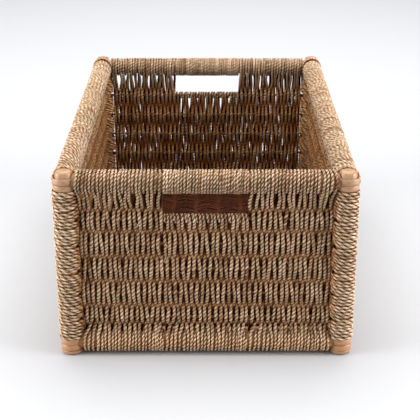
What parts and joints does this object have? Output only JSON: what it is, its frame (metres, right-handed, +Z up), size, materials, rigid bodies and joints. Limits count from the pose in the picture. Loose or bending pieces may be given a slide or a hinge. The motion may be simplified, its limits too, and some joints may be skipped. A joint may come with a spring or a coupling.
{
  "type": "seagrass storage basket",
  "caption": "Open rectangular storage basket of twisted seagrass cord woven on rods over a rattan pole frame, with a hand hole in each short wall.",
  "frame": {"origin": "middle of the footprint, on the floor that the feet stand on", "axes": "+X to the right of someone facing the front wall, +Y from the front wall with its hand hole to the back wall, +Z up"},
  "size_m": [0.3, 0.45, 0.2],
  "materials": {
    "seagrass": "two-ply twisted dry grass cord, matt, tan with greenish and reddish strands",
    "rattan_pole": "bare rattan pole, satin, with growth rings",
    "rattan_core": "peeled rattan core rod, matt",
    "cane_peel": "flat strip of cane peel, satin, with fine lengthwise grain",
    "nail_steel": "plain wire nail"
  },
  "bodies": {
    "root": {"post_front_left": "rattan_pole", "post_front_right": "rattan_pole", "post_back_left": "rattan_pole", "post_back_right": "rattan_pole", "top_rail_front": "rattan_pole", "top_rail_back": "rattan_pole", "top_rail_left": "rattan_pole", "top_rail_right": "rattan_pole", "bottom_rail_front": "rattan_pole", "bottom_rail_back": "rattan_pole", "bottom_rail_left": "rattan_pole", "bottom_rail_right": "rattan_pole", "rods_front": "rattan_core", "rods_back": "rattan_core", "rods_left": "rattan_core", "rods_right": "rattan_core", "weave_front": "seagrass", "weave_back": "seagrass", "weave_left": "seagrass", "weave_right": "seagrass", "winding_front_left": "seagrass", "winding_front_right": "seagrass", "winding_back_left": "seagrass", "winding_back_right": "seagrass", "cap_front_left": "cane_peel", "cap_front_right": "cane_peel", "cap_back_left": "cane_peel", "cap_back_right": "cane_peel", "peel_band_front_left": "cane_peel", "peel_band_front_right": "cane_peel", "peel_band_back_left": "cane_peel", "peel_band_back_right": "cane_peel", "foot_peel_front_left": "cane_peel", "foot_peel_front_right": "cane_peel", "foot_peel_back_left": "cane_peel", "foot_peel_back_right": "cane_peel", "base_side_pole_left": "rattan_pole", "base_side_pole_right": "rattan_pole", "base_end_pole_front": "rattan_pole", "base_end_pole_back": "rattan_pole", "base_rods": "rattan_core", "weave_base": "seagrass", "top_rail_nails": "nail_steel", "bottom_rail_nails": "nail_steel", "base_nails": "nail_steel"}
  },
  "joints": []
}
